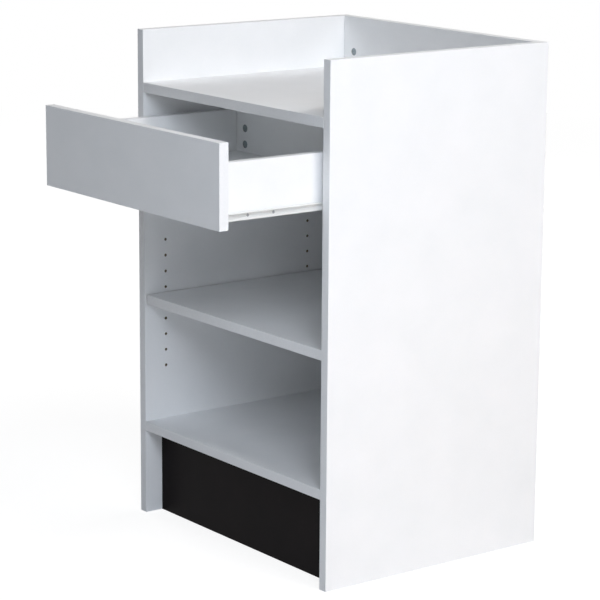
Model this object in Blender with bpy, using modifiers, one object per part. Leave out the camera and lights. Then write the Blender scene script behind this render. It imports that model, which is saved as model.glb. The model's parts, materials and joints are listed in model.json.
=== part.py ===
"""Checkout counter: register well, one drawer on roller slides, an adjustable shelf and a kick plate.

Metres, +Z up. X runs across the counter, the cashier stands on the -Y side and the customer on
the +Y side. The origin is on the floor, halfway between the face of the pulled-out drawer and the
outer face of the back panel.
"""

import math

import bmesh
import bpy
from mathutils import Matrix, Vector

# Carcass boards
CABINET_WIDTH = 0.6096
CABINET_DEPTH = 0.508
CABINET_HEIGHT = 0.9652
BOARD = 0.01905               # thickness of every carcass board and of the drawer front
WELL_DEPTH = 0.1016           # side panels' top edges down to the countertop
TOE_HEIGHT = 0.1695           # floor up to the underside of the bottom deck
TOE_SETBACK = 0.0381          # kick plate's face behind the front edges
EDGE_EASE = 0.0006            # broken corner along every board edge
TOUCH_GAP = 0.0003            # gap between faces that touch

# Shelf and shelf pins
PIN_RADIUS = 0.0025
PIN_COLLAR_RADIUS = 0.0035
PIN_COLLAR = 0.0015           # collar thickness
PIN_REACH = 0.008             # length outside the side panel
PIN_INSERT = 0.008            # length inside the side panel
PIN_HOLE_SPARE = 0.002        # hole deeper than the pin
PIN_ROWS = 9
PIN_PITCH = 0.03175
PIN_FIRST_RISE = 0.1081       # lowest hole above the deck
PIN_FRONT = 0.0495            # front column behind the front edges
PIN_SPAN = 0.3492             # front column to rear column
SHELF_ROW = 4                 # row that the shelf lies on, counted from 0
SHELF_PLAY = 0.0017           # shelf end to pin collar
SHELF_SETBACK = 0.003         # shelf behind the front edges
SHELF_BACK_GAP = 0.0032

# Drawer
DRAWER_OPEN = 0.2193          # how far the drawer is pulled out
DRAWER_REVEAL = 0.0016        # drawer front to side panel
DRAWER_TOP_REVEAL = 0.0076    # drawer front to countertop
DRAWER_FRONT_HEIGHT = 0.1524
DRAWER_BOARD = 0.015875       # thickness of the drawer sides and back
DRAWER_SIDE_HEIGHT = 0.1016
DRAWER_SIDE_RISE = 0.0138     # drawer side's lower edge above the drawer front's
DRAWER_BACK_SPACE = 0.054     # closed drawer to back panel
DRAWER_BOTTOM = 0.006         # bottom panel thickness
GROOVE_DEPTH = 0.00635
GROOVE_RISE = 0.0127          # groove above the drawer side's lower edge

# Roller slides
SLIDE_SPACE = 0.0127          # drawer side to side panel
RAIL_SHEET = 0.0012           # rail sheet thickness
RAIL_SETBACK = 0.0024         # cabinet rail behind the closed drawer front
RAIL_DRAWER_GAP = 0.0005      # drawer rail behind the drawer front
RAIL_BACK_SPACE = 0.0675      # cabinet rail to back panel
RAIL_HOOK = 0.009             # drawer rail's reach under the drawer side
RAIL_FLANGE_RISE = 0.0126     # drawer rail's flange above the drawer side's lower edge
RAIL_FLANGE_GAP = 0.0018      # flange edge to the facing rail
RAIL_TRAVEL = 0.305           # closed to fully open
STOP_HEIGHT = 0.004
STOP_WIDTH = 0.006            # the stops are tabs, pressed up at the foot of the web
ROLLER_RADIUS = 0.0105
ROLLER_PLAY = 0.0008          # drawer roller to the cabinet rail's upper flange
ROLLER_SIDE_GAP = 0.0008      # roller or axle head to a rail's web
ROLLER_END_SPACE = 0.0015     # roller's rim to the rail's end
ROLLER_NOTCH_SPACE = 0.002    # roller's rim to the flange cut away for it
ROLLER_CHAMFER = 0.0007
NOTCH_STUB = 0.0003           # sheet left beside a fold where a flange is cut away
AXLE_RADIUS = 0.002
AXLE_HEAD_RADIUS = 0.0035
AXLE_HEAD = 0.0008
AXLE_DROP = 0.0065            # drawer roller's axle below the drawer rail's flange

# Rail screws
SCREW_RADIUS = 0.0017
SCREW_HEAD_RADIUS = 0.003
SCREW_LENGTH = 0.0135
SCREW_RISE = 0.0071           # drawer rail's screws above the drawer side's lower edge
DRAWER_SCREW_FRONT = 0.047    # first drawer rail screw behind the drawer front
DRAWER_SCREW_PITCH = 0.055
CABINET_SCREW_FRONT = 0.037   # first cabinet rail screw behind the rail's front end
CABINET_SCREW_PITCH = 0.224

# Cam fittings
CAM_RADIUS = 0.0075
CAM_RECESS = 0.0003           # cam's face below the board's face
CAM_BELOW_BOLT = 0.0047       # cam's reach past the bolt's axis
CAM_SLOT_LENGTH = 0.009
CAM_SLOT_WIDTH = 0.0018
CAM_SLOT_DEPTH = 0.0025
BOLT_RADIUS = 0.0035
THREAD_RADIUS = 0.0025
THREAD_LENGTH = 0.0105
CAM_SETBACK = 0.032           # cam behind the end of a carcass board
DRAWER_CAM_SETBACK = 0.029    # cam behind the end of a drawer board
DRAWER_CAM_PITCH = 0.03175
SHELF_CAM_FRONT = 0.09        # countertop and deck cams behind the front edges
SHELF_CAM_SPAN = 0.33
BACK_CAM_DROP = 0.0706        # top back cam below the top edge
BACK_CAM_PITCH = 0.37
KICK_CAM_RISE = 0.085

# Facets of round shapes
FINE_SIDES = 20
CAM_SIDES = 12
HOLE_SIDES = 10
OVERSHOOT = 0.001             # how far a cutting shape stands out of the surface that it cuts

# Heights above the floor
COUNTER_TOP = CABINET_HEIGHT - WELL_DEPTH
COUNTER_BOTTOM = COUNTER_TOP - BOARD
DECK_TOP = TOE_HEIGHT + BOARD
SHELF_PIN_HEIGHT = DECK_TOP + PIN_FIRST_RISE + SHELF_ROW * PIN_PITCH
SHELF_BOTTOM = SHELF_PIN_HEIGHT + PIN_RADIUS + TOUCH_GAP
DRAWER_FRONT_TOP = COUNTER_BOTTOM - DRAWER_TOP_REVEAL
DRAWER_FRONT_BOTTOM = DRAWER_FRONT_TOP - DRAWER_FRONT_HEIGHT
SIDE_BOTTOM = DRAWER_FRONT_BOTTOM + DRAWER_SIDE_RISE
SIDE_TOP = SIDE_BOTTOM + DRAWER_SIDE_HEIGHT
GROOVE_BOTTOM = SIDE_BOTTOM + GROOVE_RISE
GROOVE_TOP = GROOVE_BOTTOM + DRAWER_BOTTOM + 2 * TOUCH_GAP
FLANGE_BOTTOM = SIDE_BOTTOM + RAIL_FLANGE_RISE
CABINET_AXLE_HEIGHT = FLANGE_BOTTOM - TOUCH_GAP - ROLLER_RADIUS
DRAWER_AXLE_HEIGHT = FLANGE_BOTTOM - AXLE_DROP
TRACK_BOTTOM = DRAWER_AXLE_HEIGHT - ROLLER_RADIUS - TOUCH_GAP
TRACK_TOP = DRAWER_AXLE_HEIGHT + ROLLER_RADIUS + ROLLER_PLAY

# Distances from the middle plane, along X
INNER_HALF = CABINET_WIDTH / 2 - BOARD
BOARD_HALF = INNER_HALF - TOUCH_GAP
DRAWER_HALF = INNER_HALF - SLIDE_SPACE
DRAWER_INNER_HALF = DRAWER_HALF - DRAWER_BOARD

# Distances out from the drawer side's outer face, along X
DRAWER_WEB = TOUCH_GAP + RAIL_SHEET
CABINET_WEB = SLIDE_SPACE - TOUCH_GAP - RAIL_SHEET
ROLLER_WIDTH = CABINET_WEB - DRAWER_WEB - 2 * ROLLER_SIDE_GAP - AXLE_HEAD - TOUCH_GAP

# Distances behind the front edges, with the drawer closed
BACK_INNER = CABINET_DEPTH - BOARD
DRAWER_END = BACK_INNER - DRAWER_BACK_SPACE
DRAWER_BACK_FACE = DRAWER_END - DRAWER_BOARD
RAIL_START = BOARD + RAIL_SETBACK
RAIL_END = BACK_INNER - RAIL_BACK_SPACE
DRAWER_RAIL_START = BOARD + RAIL_DRAWER_GAP
DRAWER_RAIL_END = DRAWER_RAIL_START + RAIL_END - RAIL_START
CABINET_AXLE_BACK = RAIL_START + ROLLER_END_SPACE + ROLLER_RADIUS
DRAWER_AXLE_BACK = DRAWER_RAIL_END - ROLLER_END_SPACE - ROLLER_RADIUS

X_AXIS = Vector((1, 0, 0))
Y_AXIS = Vector((0, 1, 0))
Z_AXIS = Vector((0, 0, 1))
SIDES = (("left", -1), ("right", 1))


for existing in list(bpy.data.objects):
    bpy.data.objects.remove(existing, do_unlink=True)

parts = bpy.data.collections.new("checkout_counter")
cutters = bpy.data.collections.new("checkout_counter_cutters")
bpy.context.scene.collection.children.link(parts)
bpy.context.scene.collection.children.link(cutters)


def finish(name, colour, roughness, metallic=0.0):
    """Material with a Principled surface of one colour."""
    material = bpy.data.materials.new(name)
    material.use_nodes = True
    surface = material.node_tree.nodes["Principled BSDF"]
    surface.inputs["Base Color"].default_value = (*colour, 1.0)
    surface.inputs["Roughness"].default_value = roughness
    surface.inputs["Metallic"].default_value = metallic
    return material


def white_melamine(name):
    return finish(name, (0.84, 0.85, 0.87), 0.35)


def black_laminate(name):
    return finish(name, (0.016, 0.015, 0.016), 0.3)


def white_coated_steel(name):
    return finish(name, (0.8, 0.81, 0.82), 0.4)


def white_nylon(name):
    return finish(name, (0.78, 0.78, 0.76), 0.45)


def zinc_plate(name):
    return finish(name, (0.5, 0.5, 0.5), 0.35, 1.0)


def anchor(name, location):
    """Empty that carries the pieces of one rigid group."""
    empty = bpy.data.objects.new(name, None)
    empty.empty_display_size = 0.1
    empty.location = location
    parts.objects.link(empty)
    return empty


def add_piece(name, mesh, frame, parent, surface):
    """Put a mesh at a frame of its group, with its own material."""
    piece = bpy.data.objects.new(name, mesh)
    piece.parent = parent
    piece.location = frame.to_translation()
    piece.rotation_euler = frame.to_euler()
    parts.objects.link(piece)
    if not mesh.materials:
        mesh.materials.append(None)
    piece.material_slots[0].link = "OBJECT"
    piece.material_slots[0].material = surface(name)
    return piece


def add_tool(name, mesh, frame, parent=None):
    """Shape that only cuts or joins, kept out of the parts."""
    tool = bpy.data.objects.new(name, mesh)
    tool.parent = parent
    tool.location = frame.to_translation()
    tool.rotation_euler = frame.to_euler()
    tool.hide_render = True
    tool.display_type = "WIRE"
    cutters.objects.link(tool)
    return tool


def combine(piece, tool, operation="DIFFERENCE"):
    """Cut a tool out of a piece, or join it on."""
    modifier = piece.modifiers.new(tool.name, "BOOLEAN")
    modifier.operation = operation
    modifier.solver = "EXACT"
    modifier.object = tool


def axis_frame(point, direction, reference):
    """Frame at a point, with Z along direction and X along reference."""
    turn = Matrix((reference, direction.cross(reference), direction)).transposed()
    return Matrix.Translation(point) @ turn.to_4x4()


def box_mesh(name, size):
    shape = bmesh.new()
    bmesh.ops.create_cube(shape, size=1.0)
    bmesh.ops.scale(shape, vec=size, verts=shape.verts)
    mesh = bpy.data.meshes.new(name)
    shape.to_mesh(mesh)
    shape.free()
    return mesh


def spans_to_box(spans):
    """Size and centre frame of the box that fills (low, high) spans along X, Y and Z."""
    size = Vector([high - low for low, high in spans])
    centre = Vector([(low + high) / 2 for low, high in spans])
    return size, Matrix.Translation(centre)


def add_board(name, spans, parent, surface):
    """Board with its edges broken, filling the given spans."""
    size, frame = spans_to_box(spans)
    board = add_piece(name, box_mesh(name, size), frame, parent, surface)
    ease = board.modifiers.new("Ease", "BEVEL")
    ease.limit_method = "NONE"
    ease.width = EDGE_EASE
    ease.segments = 1
    return board


def box_tool(name, spans, parent):
    size, frame = spans_to_box(spans)
    return add_tool(name, box_mesh(name, size), frame, parent)


def finished_mesh(name, item):
    """The item's evaluated mesh, shaded smooth between its sharp edges."""
    bpy.context.view_layer.update()
    evaluated = item.evaluated_get(bpy.context.evaluated_depsgraph_get())
    mesh = bpy.data.meshes.new_from_object(evaluated)
    mesh.name = name
    mesh.shade_smooth()
    mesh.set_sharp_from_angle(angle=math.radians(40))
    return mesh


def turned_mesh(name, outline, sides, ring=False):
    """Turn (radius, height) points about Z; they run down the outer side, and a ring closes on itself."""
    shape = bmesh.new()
    points = [shape.verts.new((radius, 0.0, height)) for radius, height in outline]
    for upper, lower in zip(points, points[1:]):
        shape.edges.new((upper, lower))
    if ring:
        shape.edges.new((points[-1], points[0]))
    mesh = bpy.data.meshes.new(name)
    shape.to_mesh(mesh)
    shape.free()
    item = add_tool(name + "_outline", mesh, Matrix())
    turn = item.modifiers.new("Turn", "SCREW")
    turn.steps = sides
    turn.render_steps = sides
    turn.use_merge_vertices = True
    turn.merge_threshold = 0.00001
    turned = finished_mesh(name, item)
    bpy.data.objects.remove(item, do_unlink=True)
    return turned


# Round holes, collected while the pieces are made: (board, tool name) to a list of frame, radius, depth
drillings = {}


def drill(board, tool_name, frame, radius, depth):
    """Note a round hole whose mouth is at the frame and which runs along the frame's Z."""
    drillings.setdefault((board, tool_name), []).append((frame, radius, depth))


def cut_drillings():
    """Cut every noted hole, with one tool for each board and kind of hole."""
    for (board, tool_name), holes in drillings.items():
        shape = bmesh.new()
        for frame, radius, depth in holes:
            length = depth + OVERSHOOT
            middle = Matrix.Translation((0, 0, (depth - OVERSHOOT) / 2))
            sides = CAM_SIDES if tool_name == "pockets" else HOLE_SIDES
            bmesh.ops.create_cone(shape, cap_ends=True, segments=sides, radius1=radius, radius2=radius,
                                  depth=length, matrix=frame @ middle)
        mesh = bpy.data.meshes.new(board.name + "_" + tool_name)
        shape.to_mesh(mesh)
        shape.free()
        combine(board, add_tool(mesh.name, mesh, Matrix(), board.parent))


# Groups that stay rigid; Y is measured back from the group's own front face
front_y = DRAWER_OPEN - (CABINET_DEPTH + DRAWER_OPEN) / 2
cabinet = anchor("cabinet", (0, front_y, 0))
drawer = anchor("drawer", (0, front_y - DRAWER_OPEN, 0))


def make_side_panel(side, sign):
    edges = sorted((sign * INNER_HALF, sign * (INNER_HALF + BOARD)))
    spans = (edges, (0, CABINET_DEPTH), (0, CABINET_HEIGHT))
    panel = add_board(side + "_side_panel", spans, cabinet, white_melamine)
    for column in (PIN_FRONT, PIN_FRONT + PIN_SPAN):
        for row in range(PIN_ROWS):
            mouth = (sign * INNER_HALF, column, DECK_TOP + PIN_FIRST_RISE + row * PIN_PITCH)
            frame = axis_frame(Vector(mouth), sign * X_AXIS, Z_AXIS)
            drill(panel, "holes", frame, PIN_RADIUS + TOUCH_GAP, PIN_INSERT + PIN_HOLE_SPARE)
    return panel


def make_back_panel():
    spans = ((-BOARD_HALF, BOARD_HALF), (BACK_INNER, CABINET_DEPTH), (0, CABINET_HEIGHT))
    return add_board("back_panel", spans, cabinet, white_melamine)


def make_countertop():
    spans = ((-BOARD_HALF, BOARD_HALF), (0, BACK_INNER - TOUCH_GAP), (COUNTER_BOTTOM, COUNTER_TOP))
    return add_board("countertop", spans, cabinet, white_melamine)


def make_bottom_deck():
    spans = ((-BOARD_HALF, BOARD_HALF), (0, BACK_INNER - TOUCH_GAP), (TOE_HEIGHT, DECK_TOP))
    return add_board("bottom_deck", spans, cabinet, white_melamine)


def make_kick_plate():
    depth_span = (TOE_SETBACK, TOE_SETBACK + BOARD)
    spans = ((-BOARD_HALF, BOARD_HALF), depth_span, (0, TOE_HEIGHT - TOUCH_GAP))
    return add_board("kick_plate", spans, cabinet, black_laminate)


def make_adjustable_shelf():
    half = INNER_HALF - PIN_COLLAR - SHELF_PLAY
    depth_span = (SHELF_SETBACK, BACK_INNER - SHELF_BACK_GAP)
    spans = ((-half, half), depth_span, (SHELF_BOTTOM, SHELF_BOTTOM + BOARD))
    add_board("adjustable_shelf", spans, cabinet, white_melamine)


def make_shelf_pins():
    """Pins in the row that the shelf lies on; Z of a pin's outline points out of the side panel."""
    outline = ((0, PIN_REACH), (PIN_RADIUS, PIN_REACH), (PIN_RADIUS, PIN_COLLAR),
               (PIN_COLLAR_RADIUS, PIN_COLLAR), (PIN_COLLAR_RADIUS, TOUCH_GAP),
               (PIN_RADIUS, TOUCH_GAP), (PIN_RADIUS, -PIN_INSERT), (0, -PIN_INSERT))
    mesh = turned_mesh("shelf_pin", outline, HOLE_SIDES)
    for side, sign in SIDES:
        for place, column in (("front", PIN_FRONT), ("rear", PIN_FRONT + PIN_SPAN)):
            point = Vector((sign * INNER_HALF, column, SHELF_PIN_HEIGHT))
            frame = axis_frame(point, -sign * X_AXIS, Z_AXIS)
            add_piece(f"shelf_pin_{place}_{side}", mesh, frame, cabinet, zinc_plate)


def make_drawer_front():
    half = INNER_HALF - DRAWER_REVEAL
    spans = ((-half, half), (0, BOARD), (DRAWER_FRONT_BOTTOM, DRAWER_FRONT_TOP))
    front = add_board("drawer_front", spans, drawer, white_melamine)
    groove_half = DRAWER_INNER_HALF + GROOVE_DEPTH
    groove_y = (BOARD - GROOVE_DEPTH, BOARD + OVERSHOOT)
    groove = ((-groove_half, groove_half), groove_y, (GROOVE_BOTTOM, GROOVE_TOP))
    combine(front, box_tool("drawer_front_groove", groove, drawer))
    return front


def make_drawer_side(side, sign):
    name = "drawer_side_" + side
    start = BOARD + TOUCH_GAP
    edges = sorted((sign * DRAWER_INNER_HALF, sign * DRAWER_HALF))
    spans = (edges, (start, DRAWER_END), (SIDE_BOTTOM, SIDE_TOP))
    board = add_board(name, spans, drawer, white_melamine)
    groove_x = sorted((sign * (DRAWER_INNER_HALF - OVERSHOOT), sign * (DRAWER_INNER_HALF + GROOVE_DEPTH)))
    groove = (groove_x, (start - OVERSHOOT, DRAWER_END + OVERSHOOT), (GROOVE_BOTTOM, GROOVE_TOP))
    combine(board, box_tool(name + "_groove", groove, drawer))
    return board


def make_drawer_back():
    half = DRAWER_INNER_HALF - TOUCH_GAP
    spans = ((-half, half), (DRAWER_BACK_FACE, DRAWER_END), (SIDE_BOTTOM, SIDE_TOP))
    back = add_board("drawer_back", spans, drawer, white_melamine)
    groove_y = (DRAWER_BACK_FACE - OVERSHOOT, DRAWER_BACK_FACE + GROOVE_DEPTH)
    groove = ((-half - OVERSHOOT, half + OVERSHOOT), groove_y, (GROOVE_BOTTOM, GROOVE_TOP))
    combine(back, box_tool("drawer_back_groove", groove, drawer))
    return back


def make_drawer_bottom():
    tongue = GROOVE_DEPTH - TOUCH_GAP
    half = DRAWER_INNER_HALF + tongue
    depth_span = (BOARD - tongue, DRAWER_BACK_FACE + tongue)
    height_span = (GROOVE_BOTTOM + TOUCH_GAP, GROOVE_TOP - TOUCH_GAP)
    add_board("drawer_bottom", ((-half, half), depth_span, height_span), drawer, white_melamine)


def add_rail(name, sign, section, length_span, parent):
    """Folded sheet: section is (out, height) at mid thickness, out from the drawer side's outer face."""
    shape = bmesh.new()
    start, end = length_span
    line = [shape.verts.new((sign * out, 0.0, height - SIDE_BOTTOM)) for out, height in section]
    folds = [shape.edges.new(pair) for pair in zip(line, line[1:])]
    swept = bmesh.ops.extrude_edge_only(shape, edges=folds)
    ends = [corner for corner in swept["geom"] if isinstance(corner, bmesh.types.BMVert)]
    bmesh.ops.translate(shape, vec=(0, end - start, 0), verts=ends)
    mesh = bpy.data.meshes.new(name)
    shape.to_mesh(mesh)
    shape.free()
    frame = Matrix.Translation((sign * DRAWER_HALF, start, SIDE_BOTTOM))
    rail = add_piece(name, mesh, frame, parent, white_coated_steel)
    sheet = rail.modifiers.new("Sheet", "SOLIDIFY")
    sheet.thickness = RAIL_SHEET
    sheet.offset = 0.0
    sheet.use_even_offset = True
    return rail


def rail_box(name, sign, out_span, depth_span, height_span, parent):
    """Box tool beside the drawer side; out_span is measured out from the side's outer face."""
    edges = sorted(sign * (DRAWER_HALF + out) for out in out_span)
    return box_tool(name, (edges, depth_span, height_span), parent)


def make_cabinet_rail(side, sign):
    """Channel on the side panel, open towards the drawer, with a stop at each end of the travel."""
    name = "cabinet_rail_" + side
    inner = DRAWER_WEB + RAIL_FLANGE_GAP
    web = CABINET_WEB + RAIL_SHEET / 2
    upper = TRACK_TOP + RAIL_SHEET / 2
    lower = TRACK_BOTTOM - RAIL_SHEET / 2
    section = ((inner, upper), (web, upper), (web, lower), (inner, lower))
    rail = add_rail(name, sign, section, (RAIL_START, RAIL_END), cabinet)
    reach = ROLLER_RADIUS + TOUCH_GAP
    open_stop = DRAWER_AXLE_BACK - RAIL_TRAVEL - reach - RAIL_SHEET
    closed_stop = DRAWER_AXLE_BACK + reach
    for label, start in (("open_stop", open_stop), ("closed_stop", closed_stop)):
        depth_span = (start, start + RAIL_SHEET)
        height_span = (lower, TRACK_BOTTOM + STOP_HEIGHT)
        out_span = (CABINET_WEB - STOP_WIDTH, web)
        tab = rail_box(f"{name}_{label}", sign, out_span, depth_span, height_span, cabinet)
        combine(rail, tab, "UNION")
    notch_end = CABINET_AXLE_BACK + ROLLER_RADIUS + ROLLER_NOTCH_SPACE
    notch = rail_box(name + "_notch", sign, (inner - OVERSHOOT, CABINET_WEB - NOTCH_STUB),
                     (RAIL_START - OVERSHOOT, notch_end),
                     (TRACK_BOTTOM - RAIL_SHEET - OVERSHOOT, TRACK_BOTTOM + OVERSHOOT), cabinet)
    combine(rail, notch)
    return rail


def make_drawer_rail(side, sign):
    """Rail hooked under the drawer side, with a flange that runs on the cabinet's roller."""
    name = "drawer_rail_" + side
    web = DRAWER_WEB - RAIL_SHEET / 2
    hook = SIDE_BOTTOM - TOUCH_GAP - RAIL_SHEET / 2
    flange = FLANGE_BOTTOM + RAIL_SHEET / 2
    flange_edge = CABINET_WEB - RAIL_FLANGE_GAP
    section = ((-RAIL_HOOK, hook), (web, hook), (web, flange), (flange_edge, flange))
    rail = add_rail(name, sign, section, (DRAWER_RAIL_START, DRAWER_RAIL_END), drawer)
    notch_start = DRAWER_AXLE_BACK - ROLLER_RADIUS - ROLLER_NOTCH_SPACE
    notch = rail_box(name + "_notch", sign, (DRAWER_WEB + NOTCH_STUB, flange_edge + OVERSHOOT),
                     (notch_start, DRAWER_RAIL_END + OVERSHOOT),
                     (FLANGE_BOTTOM - OVERSHOOT, FLANGE_BOTTOM + RAIL_SHEET + OVERSHOOT), drawer)
    combine(rail, notch)
    return rail


def make_rollers(cabinet_rails, drawer_rails):
    """Rollers and their riveted axles; Z of each outline points from the rail's web to the axle's head."""
    half = ROLLER_WIDTH / 2
    rim = ROLLER_RADIUS - ROLLER_CHAMFER
    bore = AXLE_RADIUS + TOUCH_GAP
    tread = half - ROLLER_CHAMFER
    roller_outline = ((rim, half), (ROLLER_RADIUS, tread), (ROLLER_RADIUS, -tread), (rim, -half),
                      (bore, -half), (bore, half))
    roller_mesh = turned_mesh("slide_roller", roller_outline, FINE_SIDES, ring=True)
    head_bottom = half + TOUCH_GAP
    head_top = head_bottom + AXLE_HEAD
    tail = -half - ROLLER_SIDE_GAP - RAIL_SHEET
    axle_outline = ((0, head_top), (AXLE_HEAD_RADIUS, head_top), (AXLE_HEAD_RADIUS, head_bottom),
                    (AXLE_RADIUS, head_bottom), (AXLE_RADIUS, tail), (0, tail))
    axle_mesh = turned_mesh("roller_axle", axle_outline, HOLE_SIDES)
    offset = ROLLER_SIDE_GAP + half
    for side, sign in SIDES:
        rows = (("cabinet", cabinet_rails[side], CABINET_WEB, -sign, CABINET_AXLE_BACK, CABINET_AXLE_HEIGHT),
                ("drawer", drawer_rails[side], DRAWER_WEB, sign, DRAWER_AXLE_BACK, DRAWER_AXLE_HEIGHT))
        for group, rail, web, way, back, height in rows:
            web_x = sign * (DRAWER_HALF + web)
            frame = axis_frame(Vector((web_x + way * offset, back, height)), way * X_AXIS, Z_AXIS)
            add_piece(f"{group}_roller_{side}", roller_mesh, frame, rail.parent, white_nylon)
            add_piece(f"{group}_axle_{side}", axle_mesh, frame, rail.parent, zinc_plate)
            mouth = axis_frame(Vector((web_x, back, height)), -way * X_AXIS, Z_AXIS)
            drill(rail, "axle_hole", mouth, bore, RAIL_SHEET + TOUCH_GAP / 2)


def make_rail_screws(cabinet_rails, drawer_rails, side_panels, drawer_sides):
    """Countersunk screws, flush with the rail's web; Z of the outline points out of the screw's face."""
    tip = -SCREW_LENGTH - SCREW_RADIUS
    outline = ((0, 0), (SCREW_HEAD_RADIUS, 0), (SCREW_RADIUS, -RAIL_SHEET),
               (SCREW_RADIUS, -SCREW_LENGTH), (0, tip))
    mesh = turned_mesh("rail_screw", outline, HOLE_SIDES)
    wide = SCREW_HEAD_RADIUS + TOUCH_GAP
    narrow = SCREW_RADIUS + TOUCH_GAP
    through = -RAIL_SHEET - TOUCH_GAP / 2
    seat_outline = ((0, OVERSHOOT), (wide, OVERSHOOT), (wide, 0), (narrow, -RAIL_SHEET),
                    (narrow, through), (0, through))
    seat_mesh = turned_mesh("screw_seat", seat_outline, HOLE_SIDES)
    cabinet_first = RAIL_START + CABINET_SCREW_FRONT
    cabinet_height = (TRACK_BOTTOM + TRACK_TOP) / 2
    drawer_first = BOARD + DRAWER_SCREW_FRONT
    drawer_height = SIDE_BOTTOM + SCREW_RISE
    for side, sign in SIDES:
        rows = (("cabinet", cabinet_rails[side], side_panels[side], CABINET_WEB, -sign,
                 cabinet_first, CABINET_SCREW_PITCH, cabinet_height),
                ("drawer", drawer_rails[side], drawer_sides[side], DRAWER_WEB, sign,
                 drawer_first, DRAWER_SCREW_PITCH, drawer_height))
        for group, rail, board, web, way, first, pitch, height in rows:
            for place, back in (("front", first), ("rear", first + pitch)):
                face = Vector((sign * (DRAWER_HALF + web), back, height))
                frame = axis_frame(face, way * X_AXIS, Z_AXIS)
                name = f"{group}_screw_{place}_{side}"
                add_piece(name, mesh, frame, rail.parent, zinc_plate)
                combine(rail, add_tool(name + "_seat", seat_mesh, frame, rail.parent))
                mouth = face - way * (RAIL_SHEET + TOUCH_GAP) * X_AXIS
                hole = axis_frame(mouth, -way * X_AXIS, Z_AXIS)
                drill(board, "holes", hole, narrow, SCREW_LENGTH + SCREW_RADIUS - RAIL_SHEET)


def fitting_mesh(name, thickness, setback):
    """Cam with its bolt: the cam's axis is Z, and the bolt leaves along X at mid thickness of the board."""
    cam_top = thickness / 2 - CAM_RECESS
    outline = ((0, cam_top), (CAM_RADIUS, cam_top), (CAM_RADIUS, -CAM_BELOW_BOLT), (0, -CAM_BELOW_BOLT))
    cam = add_tool(name, turned_mesh(name, outline, CAM_SIDES), Matrix())
    thread_end = setback + TOUCH_GAP + THREAD_LENGTH
    bolt_outline = ((0, thread_end), (THREAD_RADIUS, thread_end), (THREAD_RADIUS, setback),
                    (BOLT_RADIUS, setback), (BOLT_RADIUS, 0), (0, 0))
    bolt_mesh = turned_mesh(name + "_bolt", bolt_outline, HOLE_SIDES)
    bolt = add_tool(bolt_mesh.name, bolt_mesh, axis_frame(Vector(), X_AXIS, Z_AXIS))
    slot_span = (cam_top - CAM_SLOT_DEPTH, cam_top + OVERSHOOT)
    slot = box_tool(name + "_slot", ((-CAM_SLOT_LENGTH / 2, CAM_SLOT_LENGTH / 2),
                                     (-CAM_SLOT_WIDTH / 2, CAM_SLOT_WIDTH / 2), slot_span), None)
    combine(cam, bolt, "UNION")
    combine(cam, slot)
    mesh = finished_mesh(name, cam)
    for scratch in (cam, bolt, slot):
        bpy.data.objects.remove(scratch, do_unlink=True)
    return mesh


def add_fitting(name, mesh, thickness, setback, carrier, receiver, end, face, toward):
    """Draw a carrier board's end against a receiver.

    end is on the carrier's end at mid thickness, face is the normal of the side that shows the cam,
    and toward points out of the end into the receiver.
    """
    centre = end - toward * setback
    add_piece(name, mesh, axis_frame(centre, face, toward), carrier.parent, zinc_plate)
    pocket = axis_frame(centre + face * thickness / 2, -face, toward)
    drill(carrier, "pockets", pocket, CAM_RADIUS + TOUCH_GAP, thickness / 2 + CAM_BELOW_BOLT + TOUCH_GAP)
    drill(carrier, "bores", axis_frame(end, -toward, face), BOLT_RADIUS + TOUCH_GAP, setback)
    socket = axis_frame(end + toward * TOUCH_GAP, toward, face)
    drill(receiver, "holes", socket, THREAD_RADIUS + TOUCH_GAP, THREAD_LENGTH + TOUCH_GAP)


def make_carcass_fittings(side_panels, back_panel, countertop, bottom_deck, kick_plate):
    mesh = fitting_mesh("carcass_fitting", BOARD, CAM_SETBACK)
    places = []
    for place, back in (("front", SHELF_CAM_FRONT), ("rear", SHELF_CAM_FRONT + SHELF_CAM_SPAN)):
        places.append(("countertop_fitting_" + place, countertop, back, COUNTER_TOP - BOARD / 2, -Z_AXIS))
        places.append(("deck_fitting_" + place, bottom_deck, back, DECK_TOP - BOARD / 2, -Z_AXIS))
    for step, place in enumerate(("top", "middle", "bottom")):
        height = CABINET_HEIGHT - BACK_CAM_DROP - step * BACK_CAM_PITCH
        places.append(("back_fitting_" + place, back_panel, CABINET_DEPTH - BOARD / 2, height, -Y_AXIS))
    places.append(("kick_fitting", kick_plate, TOE_SETBACK + BOARD / 2, KICK_CAM_RISE, Y_AXIS))
    for side, sign in SIDES:
        for name, carrier, back, height, face in places:
            end = Vector((sign * BOARD_HALF, back, height))
            add_fitting(f"{name}_{side}", mesh, BOARD, CAM_SETBACK, carrier, side_panels[side],
                        end, face, sign * X_AXIS)


def make_drawer_fittings(drawer_front, drawer_back, drawer_sides):
    mesh = fitting_mesh("drawer_fitting", DRAWER_BOARD, DRAWER_CAM_SETBACK)
    middle = (SIDE_BOTTOM + SIDE_TOP) / 2
    for side, sign in SIDES:
        outward = sign * X_AXIS
        for place, step in (("upper", 1), ("lower", -1)):
            height = middle + step * DRAWER_CAM_PITCH / 2
            back_end = Vector((sign * (DRAWER_INNER_HALF - TOUCH_GAP), DRAWER_END - DRAWER_BOARD / 2, height))
            add_fitting(f"drawer_back_fitting_{place}_{side}", mesh, DRAWER_BOARD, DRAWER_CAM_SETBACK,
                        drawer_back, drawer_sides[side], back_end, -Y_AXIS, outward)
            side_end = Vector((sign * (DRAWER_HALF - DRAWER_BOARD / 2), BOARD + TOUCH_GAP, height))
            add_fitting(f"drawer_side_fitting_{place}_{side}", mesh, DRAWER_BOARD, DRAWER_CAM_SETBACK,
                        drawer_sides[side], drawer_front, side_end, -outward, -Y_AXIS)


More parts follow.
